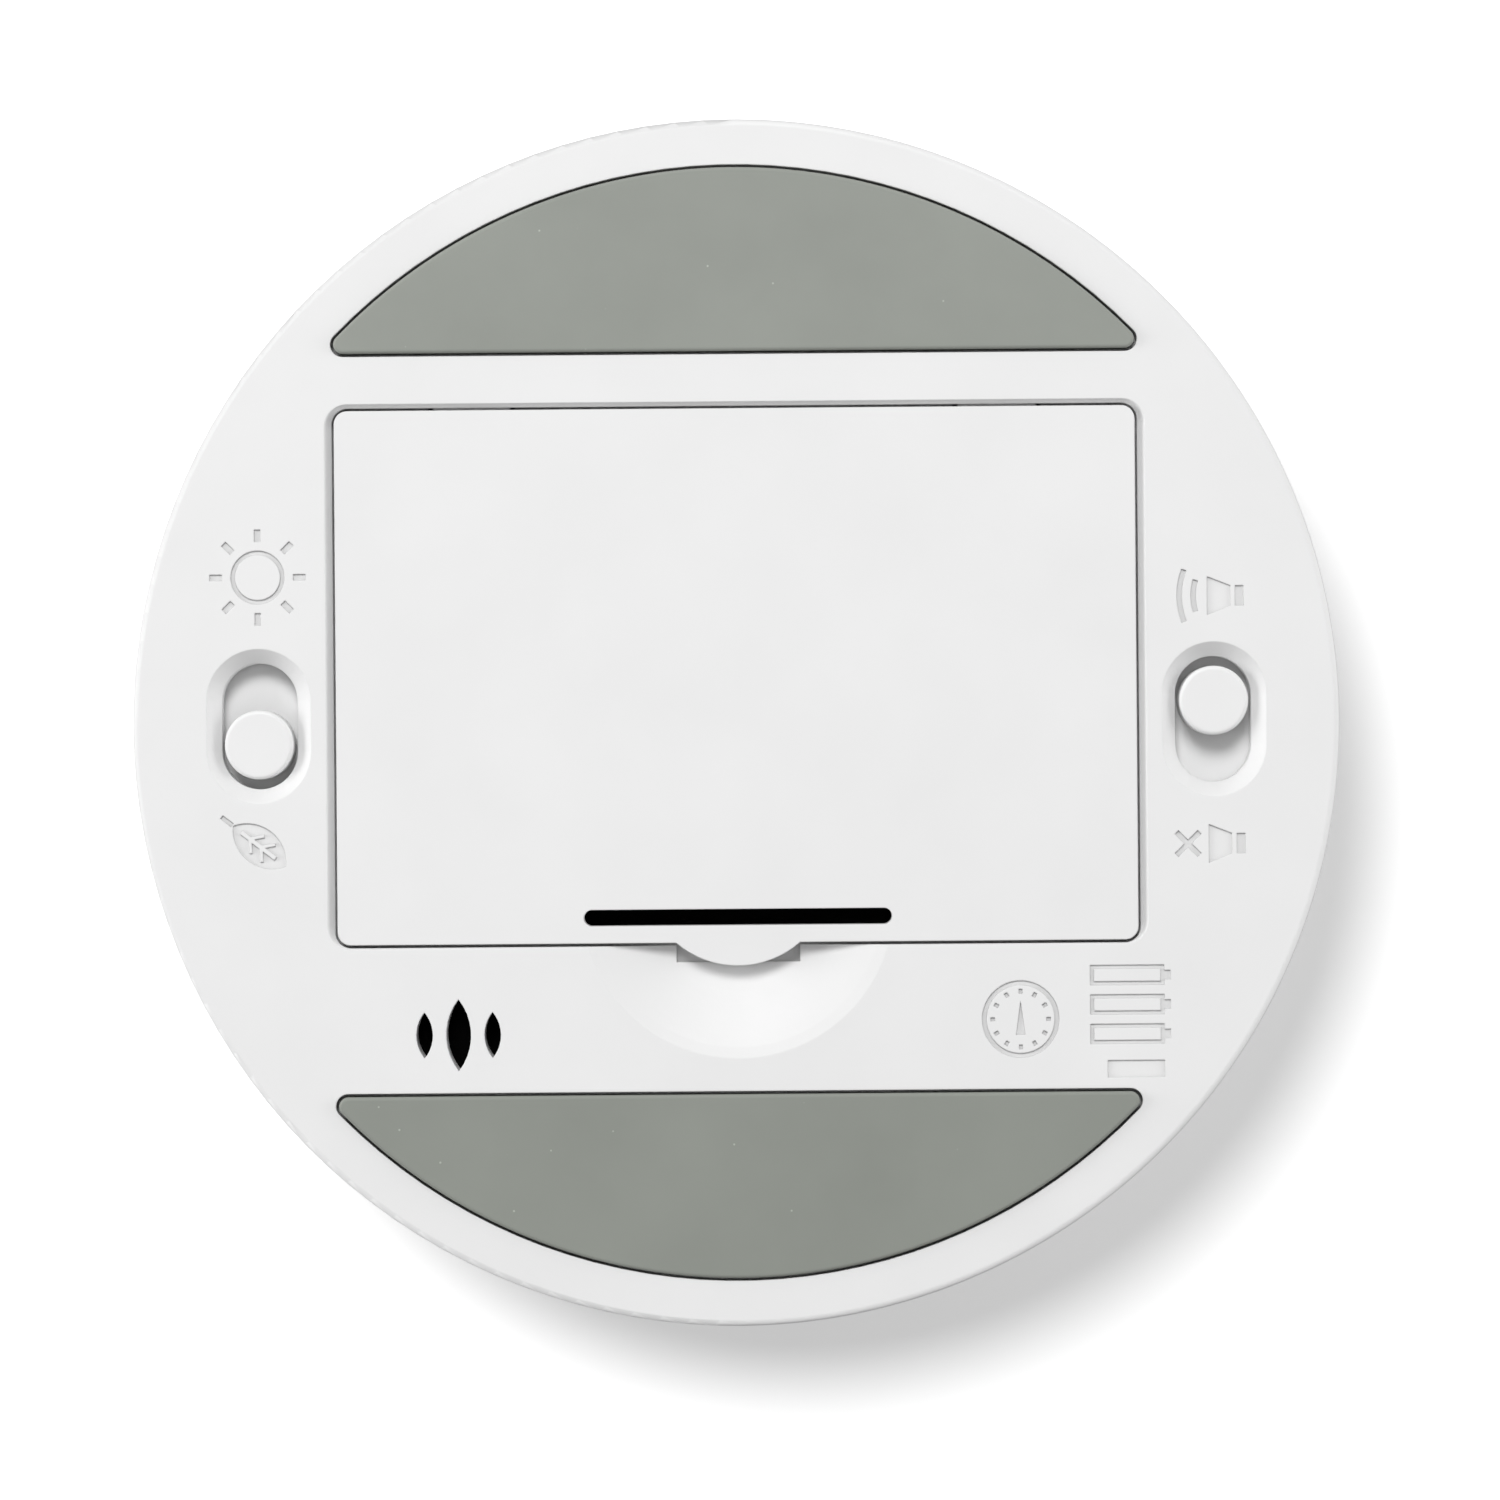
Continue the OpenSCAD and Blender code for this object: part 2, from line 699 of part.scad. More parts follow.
module chassis() {
    color([0.85, 0.85, 0.84]) difference() {
        union() {
            translate([0, 0, chassis_z]) cylinder(r = wall_r - 0.2, h = chassis_t, $fn = 180);
            ring(tube_r, tube_r - tube_t, chassis_z, tube_top);
            for (p = cover_spots) translate([p.x, p.y, chassis_z])
                cylinder(r = 2.4, h = board_z - chassis_z);
            for (p = screw_spots) translate([p.x, p.y, boss_z + 0.02])
                cylinder(r = 3, h = chassis_z - boss_z);
        }
        for (p = screw_spots) translate([p.x, p.y, 0]) cylinder(r = 1.25, h = chassis_z);
        for (p = cover_spots) translate([p.x, p.y, 0]) cylinder(r = 1.1, h = 20);
        terminal_slots(chassis_z - eps, chassis_top + eps);
        // lead openings
        for (s = [-1, 1]) translate([s * leads_x, leads_y, chassis_z])
            block([-0.8, -2.4, -eps], [0.8, 2.4, chassis_t + eps]);
        translate([sounder_x, sounder_y, chassis_z]) block([-2, -0.8, -eps], [2, 0.8, chassis_t + eps]);
        // window that the encoder's pinion reaches the ring through
        block([-tube_r - 2, -6.2, gear_z0 - 0.6], [-tube_r + 3, 6.2, tube_top + eps]);
    }
}

module main_board() {
    color([0.1, 0.35, 0.22]) difference() {
        translate([0, 0, board_z]) cylinder(r = board_r, h = board_t, $fn = 180);
        for (p = cover_spots) translate([p.x, p.y, 0]) cylinder(r = 1.1, h = 30);
        terminal_slots(board_z - eps, board_top + eps);
    }
}

module control_chip() {
    color([0.08, 0.08, 0.09]) translate([chip_at.x, chip_at.y, board_top]) cube([7, 7, 1.2]);
}

module display_module() {
    color([0.14, 0.14, 0.15])
        block([-display_w / 2, window_y - display_h / 2, board_top],
              [display_w / 2, window_y + display_h / 2, display_z]);
}

// One bar of a digit, lying along X and centred on the origin
module segment(l) {
    h = segment_t / 2;
    polygon([[-l / 2, 0], [-l / 2 + h, h], [l / 2 - h, h], [l / 2, 0], [l / 2 - h, -h], [-l / 2 + h, -h]]);
}

// A seven-bar digit: on lists the lit bars, from the top bar clockwise and then the middle one
module digit(on) {
    w = digit_w - segment_t;
    h = (digit_h - segment_t) / 2;
    places = [[0, h, 0], [w / 2, h / 2, 90], [w / 2, -h / 2, 90], [0, -h, 0],
              [-w / 2, -h / 2, 90], [-w / 2, h / 2, 90], [0, 0, 0]];
    for (i = on) translate([places[i][0], places[i][1]]) rotate(places[i][2])
        segment(i % 3 == 0 ? w - 0.3 : h - 0.3);
}

// The time shown: 05:00
module display_digits() {
    zero = [0, 1, 2, 3, 4, 5];
    five = [0, 2, 3, 5, 6];
    color([1, 0.98, 0.94]) translate([0, window_y, display_z + 0.02]) linear_extrude(0.3) {
        translate([-13.5, 0]) digit(zero);
        translate([-5.1, 0]) digit(five);
        translate([5.1, 0]) digit(zero);
        translate([13.5, 0]) digit(zero);
        for (y = [-1.9, 1.9]) translate([0, y]) circle(r = 0.65);
    }
}

// ---- encoder and dial ring ----

module encoder() {
    color([0.7, 0.71, 0.73]) difference() {
        translate([pinion_x, 0, 0]) block([-2.8, -2.8, board_top], [2.8, 2.8, board_top + 2.4]);
        translate([pinion_x, 0, board_top + 0.8]) cylinder(r = 1.56, h = 5);
    }
}

module encoder_shaft() {
    color([0.65, 0.65, 0.66]) translate([pinion_x, 0, board_top + 0.9]) cylinder(r = 1.5, h = 4.5);
}

// One tooth that points along +X from radius r0 to r1, w0 wide at its root and w1 at its tip
module tooth(r0, r1, w0, w1) {
    polygon([[r0, -w0 / 2], [r1, -w1 / 2], [r1, w1 / 2], [r0, w0 / 2]]);
}

module encoder_pinion() {
    color([0.92, 0.9, 0.84]) translate([pinion_x, 0, board_top + 2.6]) difference() {
        union() {
            cylinder(r = pinion_pitch_r - 0.7, h = 2);
            linear_extrude(2) for (i = [0 : pinion_teeth - 1]) rotate(180 + 360 * i / pinion_teeth)
                tooth(pinion_pitch_r - 0.9, pinion_pitch_r + 0.5, 1.2, 0.5);
        }
        translate([0, 0, -eps]) cylinder(r = 1.51, h = 5);
    }
}

// The outline inside the internal gear: a gap between two teeth faces the pinion
function gear_outline() = [for (i = [0 : ring_teeth - 1]) let (mid = 180 + 360 * (i + 0.5) / ring_teeth)
    for (corner = [[ring_pitch_r + 0.64, -1.05], [ring_pitch_r - 0.45, -0.5],
                   [ring_pitch_r - 0.45, 0.5], [ring_pitch_r + 0.64, 1.05]])
        [cos(mid + corner.y), sin(mid + corner.y)] * corner.x];

module dial_ring() {
    inner = ring_r - 1.8;
    color([0.93, 0.93, 0.93]) difference() {
        union() {
            rotate_extrude($fn = 180) {
                translate([wall_r + 0.15, ring_z]) square([ring_r - wall_r - 0.15, 2]);
                translate([inner, ring_z + 1]) square([1.8, ring_top - ring_z - 2]);
                translate([inner, ring_top - 1.4]) square([0.9, 1.4]);
                translate([ring_r - 0.9, ring_top - 0.9]) circle(r = 0.9, $fn = 48);
                translate([tube_r + 0.1, chassis_top + 0.3]) square([inner - tube_r, 1.3]);
                translate([34.8, lip_z - 1.1]) square([inner - 34.6, 1.1]);
            }
            translate([0, 0, gear_z0]) linear_extrude(gear_z1 - gear_z0) difference() {
                circle(r = inner + 0.3, $fn = 180);
                polygon(gear_outline());
            }
        }
        for (i = [0 : flutes - 1]) rotate(360 * i / flutes) translate([ring_r + 1.05, 0, ring_z + 1.6])
            cylinder(r = 1.4, h = ring_top - ring_z - 3.2, $fn = 32);
        // index groove, at the top edge of the display when the dial is at rest
        block([-tick_w / 2, inner - eps, ring_top - 0.3], [tick_w / 2, ring_r + eps, ring_top + eps]);
    }
}

// ---- front cover, window and button ----

module front_cover() {
    win = [window_w / 2, window_h / 2];
    color([0.93, 0.93, 0.93]) difference() {
        union() {
            rotate_extrude($fn = 180) {
                translate([0, cover_z]) square([cover_r - 0.7, cover_t]);
                translate([0, cover_z]) square([cover_r, cover_t - 0.7]);
                translate([cover_r - 0.7, cover_top - 0.7]) circle(r = 0.7, $fn = 48);
                translate([tube_r - tube_t + 0.05, tube_top + 0.02]) square([tube_t - 0.1, 1]);
            }
            for (p = cover_spots) translate([p.x, p.y, board_top + 0.02])
                cylinder(r = 2.2, h = cover_z - board_top);
        }
        rounded_block([-win.x - 0.1, window_y - win.y - 0.1, cover_top - 1],
                      [win.x + 0.1, window_y + win.y + 0.1, cover_top + eps], 2.6);
        rounded_block([-win.x + 1.2, window_y - win.y + 1.2, cover_z - eps],
                      [win.x - 1.2, window_y + win.y - 1.2, cover_top + eps], 1.6);
        translate([0, button_y, 0]) cylinder(d = button_d + 0.4, h = 40);
        translate([0, button_y, cover_top - 0.35])
            cylinder(r1 = button_d / 2 + 0.2, r2 = button_d / 2 + 1, h = 0.4);
        for (i = [0 : face_ticks - 1]) rotate(360 * i / face_ticks)
            block([tick_r.x, -tick_w / 2, cover_top - icon_depth], [tick_r.y, tick_w / 2, cover_top + eps]);
        for (p = cover_spots) translate([p.x, p.y, 0]) cylinder(r = 1.05, h = cover_z);
    }
}

module display_window() {
    color([0.05, 0.05, 0.06, 0.8])
        rounded_block([-window_w / 2, window_y - window_h / 2, cover_top - 0.98],
                      [window_w / 2, window_y + window_h / 2, cover_top + 0.02], 2.5);
}

// Start and pause: a triangle beside two bars
module start_icon() {
    polygon([[-2.6, 1.5], [-2.6, -1.5], [-0.1, 0]]);
    bar(0.8, 1.4, -1.4, 1.4);
    bar(2.0, 2.6, -1.4, 1.4);
}

module start_button() {
    top = cover_top + 0.8;
    r = button_d / 2;
    edge = 0.5;
    flange_z = cover_z - 0.9;
    color([0.6, 0.61, 0.58]) translate([0, button_y, 0]) difference() {
        rotate_extrude() {
            translate([0, flange_z]) square([r + 1, 0.85]);
            translate([0, flange_z]) square([r - edge, top - flange_z]);
            translate([0, flange_z]) square([r, top - edge - flange_z]);
            translate([r - edge, top - edge]) circle(r = edge, $fn = 32);
            translate([0, button_foot_z]) square([1.8, 2.5]);
        }
        translate([0, 0, top - icon_depth]) linear_extrude(icon_depth + eps) start_icon();
    }
}

module start_plunger() {
    color([0.1, 0.1, 0.1]) translate([0, button_y, plunger_z])
        cylinder(r = 1.6, h = button_foot_z - 0.02 - plunger_z);
}

module start_switch() {
    color([0.75, 0.76, 0.78]) translate([0, button_y, 0]) difference() {
        block([-3, -3, board_top], [3, 3, plunger_z + 0.3]);
        translate([0, 0, plunger_z - button_travel - 0.2]) cylinder(r = 1.75, h = 2);
    }
}

// ---- screws ----

// A screw that points up from the underside of its head at z
module screw(r, l, head_r, head_h) {
    difference() {
        union() {
            translate([0, 0, -head_h]) cylinder(r = head_r, h = head_h);
            cylinder(r = r, h = l);
        }
        for (a = [0, 90]) rotate(a)
            block([-head_r * 0.6, -0.22, -head_h - eps], [head_r * 0.6, 0.22, -head_h + 0.7]);
    }
}

module housing_screws() {
    color([0.6, 0.6, 0.62]) for (p = screw_spots) translate([p.x, p.y, boss_z - 1.52])
        screw(1.2, 6, 2.3, 1.5);
}

module cover_screws() {
    color([0.6, 0.6, 0.62]) for (p = cover_spots) translate([p.x, p.y, chassis_z - 0.02])
        screw(1, cover_z - chassis_z - 2.4, 1.9, 1.2);
}

base_housing();
battery_door();
pad_upper();
pad_lower();
battery_1();
battery_2();
battery_3();
positive_terminal();
negative_terminal();
link_contact_left();
link_contact_right();
brightness_knob();
brightness_lever();
brightness_switch();
brightness_board();
brightness_leads();
sound_knob();
sound_lever();
sound_switch();
sound_board();
sound_leads();
sounder();
sounder_mesh();
sounder_leads();
chassis();
main_board();
control_chip();
display_module();
display_digits();
encoder();
encoder_shaft();
encoder_pinion();
dial_ring();
front_cover();
display_window();
start_button();
start_plunger();
start_switch();
housing_screws();
cover_screws();
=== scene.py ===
"""Looks of the palm-size digital timer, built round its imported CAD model. Metres, +Z up, feet down."""

import json
import math

import bpy
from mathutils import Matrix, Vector


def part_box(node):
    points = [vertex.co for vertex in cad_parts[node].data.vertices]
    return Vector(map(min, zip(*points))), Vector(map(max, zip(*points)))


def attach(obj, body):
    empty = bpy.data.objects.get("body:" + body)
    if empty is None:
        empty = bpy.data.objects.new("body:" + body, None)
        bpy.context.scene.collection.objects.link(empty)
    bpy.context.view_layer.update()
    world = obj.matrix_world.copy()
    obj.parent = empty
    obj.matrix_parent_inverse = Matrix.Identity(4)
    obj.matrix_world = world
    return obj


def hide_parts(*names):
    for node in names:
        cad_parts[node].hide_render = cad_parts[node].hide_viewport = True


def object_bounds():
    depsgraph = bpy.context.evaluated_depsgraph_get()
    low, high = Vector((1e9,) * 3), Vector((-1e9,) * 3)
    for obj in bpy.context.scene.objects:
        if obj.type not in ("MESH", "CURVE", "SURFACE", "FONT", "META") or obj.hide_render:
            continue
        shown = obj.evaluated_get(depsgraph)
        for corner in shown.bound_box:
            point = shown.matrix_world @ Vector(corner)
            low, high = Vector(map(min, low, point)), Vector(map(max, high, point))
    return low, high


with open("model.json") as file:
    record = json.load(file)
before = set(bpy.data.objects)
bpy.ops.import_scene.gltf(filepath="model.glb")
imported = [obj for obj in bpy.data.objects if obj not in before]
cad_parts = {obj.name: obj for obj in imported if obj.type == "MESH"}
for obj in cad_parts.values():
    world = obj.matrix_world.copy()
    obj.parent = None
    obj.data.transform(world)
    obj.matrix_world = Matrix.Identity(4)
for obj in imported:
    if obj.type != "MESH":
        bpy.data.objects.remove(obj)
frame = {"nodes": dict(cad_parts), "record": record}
cad_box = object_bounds()
nodes = frame["nodes"]
MM = 0.001

# ---------------------------------------------------------------- sizes, from the frame

under_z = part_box("base_housing")[0].z
top_z = cad_box[1][2]
ring_low, ring_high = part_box("dial_ring")
ring_r = ring_high.x

# ---------------------------------------------------------------- small helpers


def to_scene(obj):
    """Puts an object into the scene and gives it back."""
    bpy.context.scene.collection.objects.link(obj)
    return obj


def mesh_object(name, verts, faces, smooth=True):
    """A mesh object made from its points and faces."""
    mesh = bpy.data.meshes.new(name)
    mesh.from_pydata([tuple(v) for v in verts], [], faces)
    mesh.validate()
    mesh.update()
    for polygon in mesh.polygons:
        polygon.use_smooth = smooth
    return to_scene(bpy.data.objects.new(name, mesh))


def set_material(obj, material):
    """Makes a material the only one of an object."""
    obj.data.materials.clear()
    obj.data.materials.append(material)


# ---------------------------------------------------------------- materials


class Graph:
    """A material's node tree, with one call for each kind of node that the finishes use."""

    def __init__(self, name):
        self.material = bpy.data.materials.new(name)
        self.material.use_nodes = True
        self.tree = self.material.node_tree
        self.tree.nodes.clear()
        self.out = self.node("ShaderNodeOutputMaterial")
        self.shader = self.node("ShaderNodeBsdfPrincipled")
        self.link(self.shader, "BSDF", self.out, "Surface")
        self.place = self.node("ShaderNodeTexCoord")

    def node(self, kind, **settings):
        """A new node of a kind, with some of its settings."""
        made = self.tree.nodes.new(kind)
        for key, value in settings.items():
            setattr(made, key, value)
        return made

    def link(self, a, a_socket, b, b_socket):
        """Leads an output of node a to an input of node b."""
        self.tree.links.new(a.outputs[a_socket], b.inputs[b_socket])

    def noise(self, size_mm, detail=2.0, roughness=0.5):
        """Noise whose largest patches have about the given size."""
        made = self.node("ShaderNodeTexNoise")
        made.inputs["Scale"].default_value = 1.0 / (size_mm * MM)
        made.inputs["Detail"].default_value = detail
        made.inputs["Roughness"].default_value = roughness
        self.link(self.place, "Object", made, "Vector")
        return made

    def cells(self, size_mm):
        """Distances from scattered points, which lie about the given size apart."""
        made = self.node("ShaderNodeTexVoronoi")
        made.inputs["Scale"].default_value = 1.0 / (size_mm * MM)
        self.link(self.place, "Object", made, "Vector")
        return made

    def ramp(self, source, socket, stops):
        """Colours along a value, from (value, colour) stops."""
        made = self.node("ShaderNodeValToRGB")
        while len(made.color_ramp.elements) < len(stops):
            made.color_ramp.elements.new(0.5)
        for element, (at, color) in zip(made.color_ramp.elements, stops):
            element.position = at
            element.color = (*color, 1.0)
        self.link(source, socket, made, "Fac")
        return made

    def patches(self, source, dark, light):
        """From one colour to another through the middle of a noise's range."""
        return self.ramp(source, "Fac", [(0.3, dark), (0.7, light)])

    def span(self, source, socket, low, high, at=(0.0, 1.0)):
        """A value spread from the range at to the range from low to high."""
        made = self.node("ShaderNodeMapRange")
        made.inputs["From Min"].default_value = at[0]
        made.inputs["From Max"].default_value = at[1]
        made.inputs["To Min"].default_value = low
        made.inputs["To Max"].default_value = high
        self.link(source, socket, made, "Value")
        return made

    def mix(self, factor, factor_socket, a, a_socket, color):
        """From the colour of another node to a fixed colour, by a factor."""
        made = self.node("ShaderNodeMix", data_type="RGBA")
        self.link(factor, factor_socket, made, "Factor")
        self.link(a, a_socket, made, "A")
        made.inputs["B"].default_value = (*color, 1.0)
        return made

    def recesses(self, source, socket, color, reach_mm=1.4):
        """Towards a darker colour in narrow recesses: painted shade, where little light comes in."""
        open_sky = self.node("ShaderNodeAmbientOcclusion", samples=8, only_local=True)
        open_sky.inputs["Distance"].default_value = reach_mm * MM
        closed = self.span(open_sky, "AO", 1.0, 0.0, at=(0.15, 1.0))
        return self.mix(closed, "Result", source, socket, color)

    def soft_edges(self, radius_mm):
        """Normals that round the mesh's edges."""
        made = self.node("ShaderNodeBevel", samples=6)
        made.inputs["Radius"].default_value = radius_mm * MM
        return made

    def bump(self, source, socket, height_mm, strength, under=None):
        """Fine relief from a value, on the mesh's own normals or on those of the node under it."""
        made = self.node("ShaderNodeBump")
        made.inputs["Distance"].default_value = height_mm * MM
        made.inputs["Strength"].default_value = strength
        self.link(source, socket, made, "Height")
        if under is not None:
            self.link(under, "Normal", made, "Normal")
        return made


def shade(color, factor):
    """A colour made lighter or darker by a factor."""
    return tuple(min(1.0, c * factor) for c in color)


def moulded(name, color, rough=0.5, mottling=0.015, specular=0.4, edge_mm=0.0, shade_depth=0.0):
    """Moulded plastic with a spark-eroded grain, faint flow mottling and an uneven sheen.

    edge_mm rounds its edges, and shade_depth is how much painted shade darkens its recesses.
    """
    g = Graph(name)
    flow = g.noise(9.0, 3.0)
    tint = g.patches(flow, shade(color, 1 - mottling), shade(color, 1 + mottling))
    finish, socket = tint, "Color"
    if shade_depth > 0.0:
        # Painted shade in the recesses, from how little of the surroundings they see.
        finish, socket = g.recesses(tint, "Color", shade(color, 1 - shade_depth)), "Result"
    g.link(finish, socket, g.shader, "Base Color")
    grain_height_mm = 0.004
    grain = g.noise(0.22, 3.0, 0.6)
    soft = g.noise(1.6, 2.0)
    sheen = g.span(soft, "Fac", rough - 0.06, rough + 0.06)
    g.link(sheen, "Result", g.shader, "Roughness")
    under = g.soft_edges(edge_mm) if edge_mm > 0.0 else None
    wave = g.bump(soft, "Fac", grain_height_mm, 0.25, under=under)
    bump = g.bump(grain, "Fac", grain_height_mm, 0.8, under=wave)
    g.link(bump, "Normal", g.shader, "Normal")
    g.shader.inputs["Specular IOR Level"].default_value = specular
    return g.material


def rubber(name, color):
    """Matt grey rubber with a bloom of lighter and darker patches and a few pale dust specks."""
    g = Graph(name)
    bloom = g.noise(14.0, 4.0, 0.55)
    tint = g.patches(bloom, shade(color, 0.95), shade(color, 1.06))
    specks = g.cells(1.9)
    dust = g.span(specks, "Distance", 1.0, 0.0, at=(0.02, 0.045))
    dusted = g.mix(dust, "Result", tint, "Color", shade(color, 1.7))
    g.link(dusted, "Result", g.shader, "Base Color")
    grain = g.noise(0.16, 3.0, 0.7)
    bump = g.bump(grain, "Fac", 0.006, 0.9)
    g.link(bump, "Normal", g.shader, "Normal")
    g.shader.inputs["Roughness"].default_value = 0.72
    g.shader.inputs["Specular IOR Level"].default_value = 0.3
    return g.material


def metal(name, color, rough=0.3):
    """Plated sheet or turned metal with fine brushing and patches of dulling."""
    g = Graph(name)
    dull = g.noise(2.5, 4.0)
    tint = g.patches(dull, shade(color, 0.86), color)
    g.link(tint, "Color", g.shader, "Base Color")
    sheen = g.span(dull, "Fac", rough - 0.08, rough + 0.12)
    g.link(sheen, "Result", g.shader, "Roughness")
    lines = g.noise(0.1, 2.0)
    bump = g.bump(lines, "Fac", 0.003, 0.4)
    g.link(bump, "Normal", g.shader, "Normal")
    g.shader.inputs["Metallic"].default_value = 1.0
    return g.material


def jacket(name):
    """A cell's printed sleeve: glossy black with a bronze band between two hairlines near the plus end."""
    g = Graph(name)
    split = g.node("ShaderNodeSeparateXYZ")
    g.link(g.place, "Object", split, "Vector")
    along = g.span(split, "Z", 0.0, 1.0, at=(0.0, CELL_SLEEVE * MM))
    black, bronze, hairline = (0.002, 0.002, 0.002), (0.26, 0.12, 0.035), (0.5, 0.45, 0.36)
    print_ramp = g.ramp(along, "Result", [(0.0, black), (0.775, hairline), (0.785, black), (0.8, bronze),
                                          (0.955, black), (0.97, hairline), (0.98, black)])
    print_ramp.color_ramp.interpolation = "CONSTANT"
    g.link(print_ramp, "Color", g.shader, "Base Color")
    scuffs = g.noise(0.8, 4.0, 0.7)
    sheen = g.span(scuffs, "Fac", 0.22, 0.42)
    g.link(sheen, "Result", g.shader, "Roughness")
    bump = g.bump(scuffs, "Fac", 0.003, 0.5)
    g.link(bump, "Normal", g.shader, "Normal")
    g.shader.inputs["Specular IOR Level"].default_value = 0.12
    return g.material


def smoked(name, color, alpha):
    """A smoked window that lets the lit digits through, with faint wiping marks in its gloss."""
    g = Graph(name)
    wiping = g.noise(5.0, 5.0, 0.65)
    tint = g.patches(wiping, color, shade(color, 1.3))
    g.link(tint, "Color", g.shader, "Base Color")
    sheen = g.span(wiping, "Fac", 0.03, 0.12)
    g.link(sheen, "Result", g.shader, "Roughness")
    g.shader.inputs["Alpha"].default_value = alpha
    return g.material


def lit(name, color, strength):
    """A lit segment, a little uneven as diffused light is."""
    g = Graph(name)
    uneven = g.noise(2.2, 2.0)
    tint = g.patches(uneven, shade(color, 0.9), color)
    g.link(tint, "Color", g.shader, "Base Color")
    g.link(tint, "Color", g.shader, "Emission Color")
    g.shader.inputs["Emission Strength"].default_value = strength
    return g.material


CELL_R = 5.25                     # an AAA cell's radius, in mm
CELL_SLEEVE = 43.5                # and the length of its sleeve

MATERIALS = {
    "white_plastic": moulded("white_plastic", (0.81, 0.81, 0.81), edge_mm=0.12, shade_depth=0.3),
    "knob_plastic": moulded("knob_plastic", (0.82, 0.82, 0.82), rough=0.45, edge_mm=0.12, shade_depth=0.3),
    "ring_plastic": moulded("ring_plastic", (0.81, 0.81, 0.81), rough=0.45, shade_depth=0.2),
    "pad_rubber": rubber("pad_rubber", (0.295, 0.31, 0.283)),
    "cell_jacket": jacket("cell_jacket"),
    "contact_metal": metal("contact_metal", (0.75, 0.72, 0.66)),
    "black_plastic": moulded("black_plastic", (0.015, 0.015, 0.017), edge_mm=0.1),
    "switch_metal": metal("switch_metal", (0.7, 0.7, 0.72), 0.35),
    "circuit_board": moulded("circuit_board", (0.015, 0.11, 0.045), rough=0.3, mottling=0.1),
    "lead_jacket": moulded("lead_jacket", (0.45, 0.03, 0.02), rough=0.35),
    "mesh_fabric": moulded("mesh_fabric", (0.002, 0.002, 0.002), rough=0.9, specular=0.0),
    "inner_plastic": moulded("inner_plastic", (0.6, 0.6, 0.59), edge_mm=0.1, shade_depth=0.2),
    "display_body": moulded("display_body", (0.004, 0.004, 0.005), rough=0.4),
    "lit_segment": lit("lit_segment", (1.0, 0.98, 0.93), 6.0),
    "pinion_plastic": moulded("pinion_plastic", (0.75, 0.72, 0.62)),
    "window_plastic": smoked("window_plastic", (0.008, 0.008, 0.01), 0.6),
    "button_plastic": moulded("button_plastic", (0.29, 0.3, 0.275), edge_mm=0.12, shade_depth=0.3),
    "screw_steel": metal("screw_steel", (0.6, 0.6, 0.62)),
}

slots = {entry["node"]: entry["material_slot"] for entry in frame["record"]["subparts"]}
for name, obj in nodes.items():
    set_material(obj, MATERIALS[slots[name]])

# Low-polygon curves shade evenly with these offsets.
for obj in nodes.values():
    obj.cycles.shadow_terminator_offset = 0.2
    obj.cycles.shadow_terminator_geometry_offset = 0.3


def add_piece(obj, body, slot, *stands_for):
    """Gives a piece its body, its finish and the CAD nodes that it stands for."""
    set_material(obj, MATERIALS[slot])
    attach(obj, body)
    if stands_for:
        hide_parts(*stands_for)
    return obj


# ---------------------------------------------------------------- rubber pads


def arc_points(centre, radius, start, end, steps):
    """Points along an arc in XY, from the angle start to the angle end."""
    angles = [start + (end - start) * i / steps for i in range(steps + 1)]
    return [(centre[0] + radius * math.cos(a), centre[1] + radius * math.sin(a)) for a in angles]


PAD_CORNER = 0.6 * MM             # radius of a pad's two corners
PAD_EDGE = 0.22 * MM              # radius of a pad's worn lower edge
EDGE_STEPS, CORNER_STEPS, CROWN_STEPS, CHORD_STEPS = 5, 10, 120, 40


def pad_outline(outer_r, chord, shrink):
    """A circle's segment with rounded corners, drawn in by shrink."""
    mid_y = chord + PAD_CORNER
    mid_x = math.sqrt((outer_r - PAD_CORNER) ** 2 - mid_y ** 2)
    touch = math.atan2(mid_y, mid_x)
    corner_r = PAD_CORNER - shrink
    right = arc_points((mid_x, mid_y), corner_r, -math.pi / 2, touch, CORNER_STEPS)
    crown = arc_points((0.0, 0.0), outer_r - shrink, touch, math.pi - touch, CROWN_STEPS)
    left = arc_points((-mid_x, mid_y), corner_r, math.pi - touch, math.pi * 1.5, CORNER_STEPS)
    straight = [(-mid_x + 2 * mid_x * i / CHORD_STEPS, chord + shrink) for i in range(1, CHORD_STEPS)]
    return right + crown[1:-1] + left + straight


def rubber_pad(node, side, material):
    """A pad with a soft lower edge, on the side +1 or -1 of Y."""
    low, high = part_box(node)
    outer_r = max(abs(low.y), abs(high.y))
    chord = min(abs(low.y), abs(high.y))
    turns = [math.pi / 2 * i / EDGE_STEPS for i in range(EDGE_STEPS + 1)]
    layers = [(PAD_EDGE * (1 - math.sin(t)), low.z + PAD_EDGE * (1 - math.cos(t))) for t in turns]
    layers.append((0.0, high.z))
    verts = []
    for shrink, z in layers:
        verts += [(x, side * y, z) for x, y in pad_outline(outer_r, chord, shrink)]
    count = len(verts) // len(layers)
    faces = [tuple(range(count)), tuple(reversed(range(len(verts) - count, len(verts))))]
    for layer in range(len(layers) - 1):
        for i in range(count):
            a, b = layer * count + i, layer * count + (i + 1) % count
            faces.append((a, a + count, b + count, b))
    if side > 0:
        faces = [tuple(reversed(face)) for face in faces]
    pad = mesh_object("rubber_" + node, verts, faces)
    for flat in pad.data.polygons[:2]:
        flat.use_smooth = False
    add_piece(pad, "housing", "pad_rubber", node)
    set_material(pad, material)


rubber_pad("pad_upper", 1, MATERIALS["pad_rubber"])
# The lower pad's rubber is a darker copy of the upper pad's: painted shade, as the key light comes from the
# upper pad's side.
rubber_pad("pad_lower", -1, rubber("pad_rubber_painted_shade", (0.265, 0.28, 0.253)))

# ---------------------------------------------------------------- dial ring

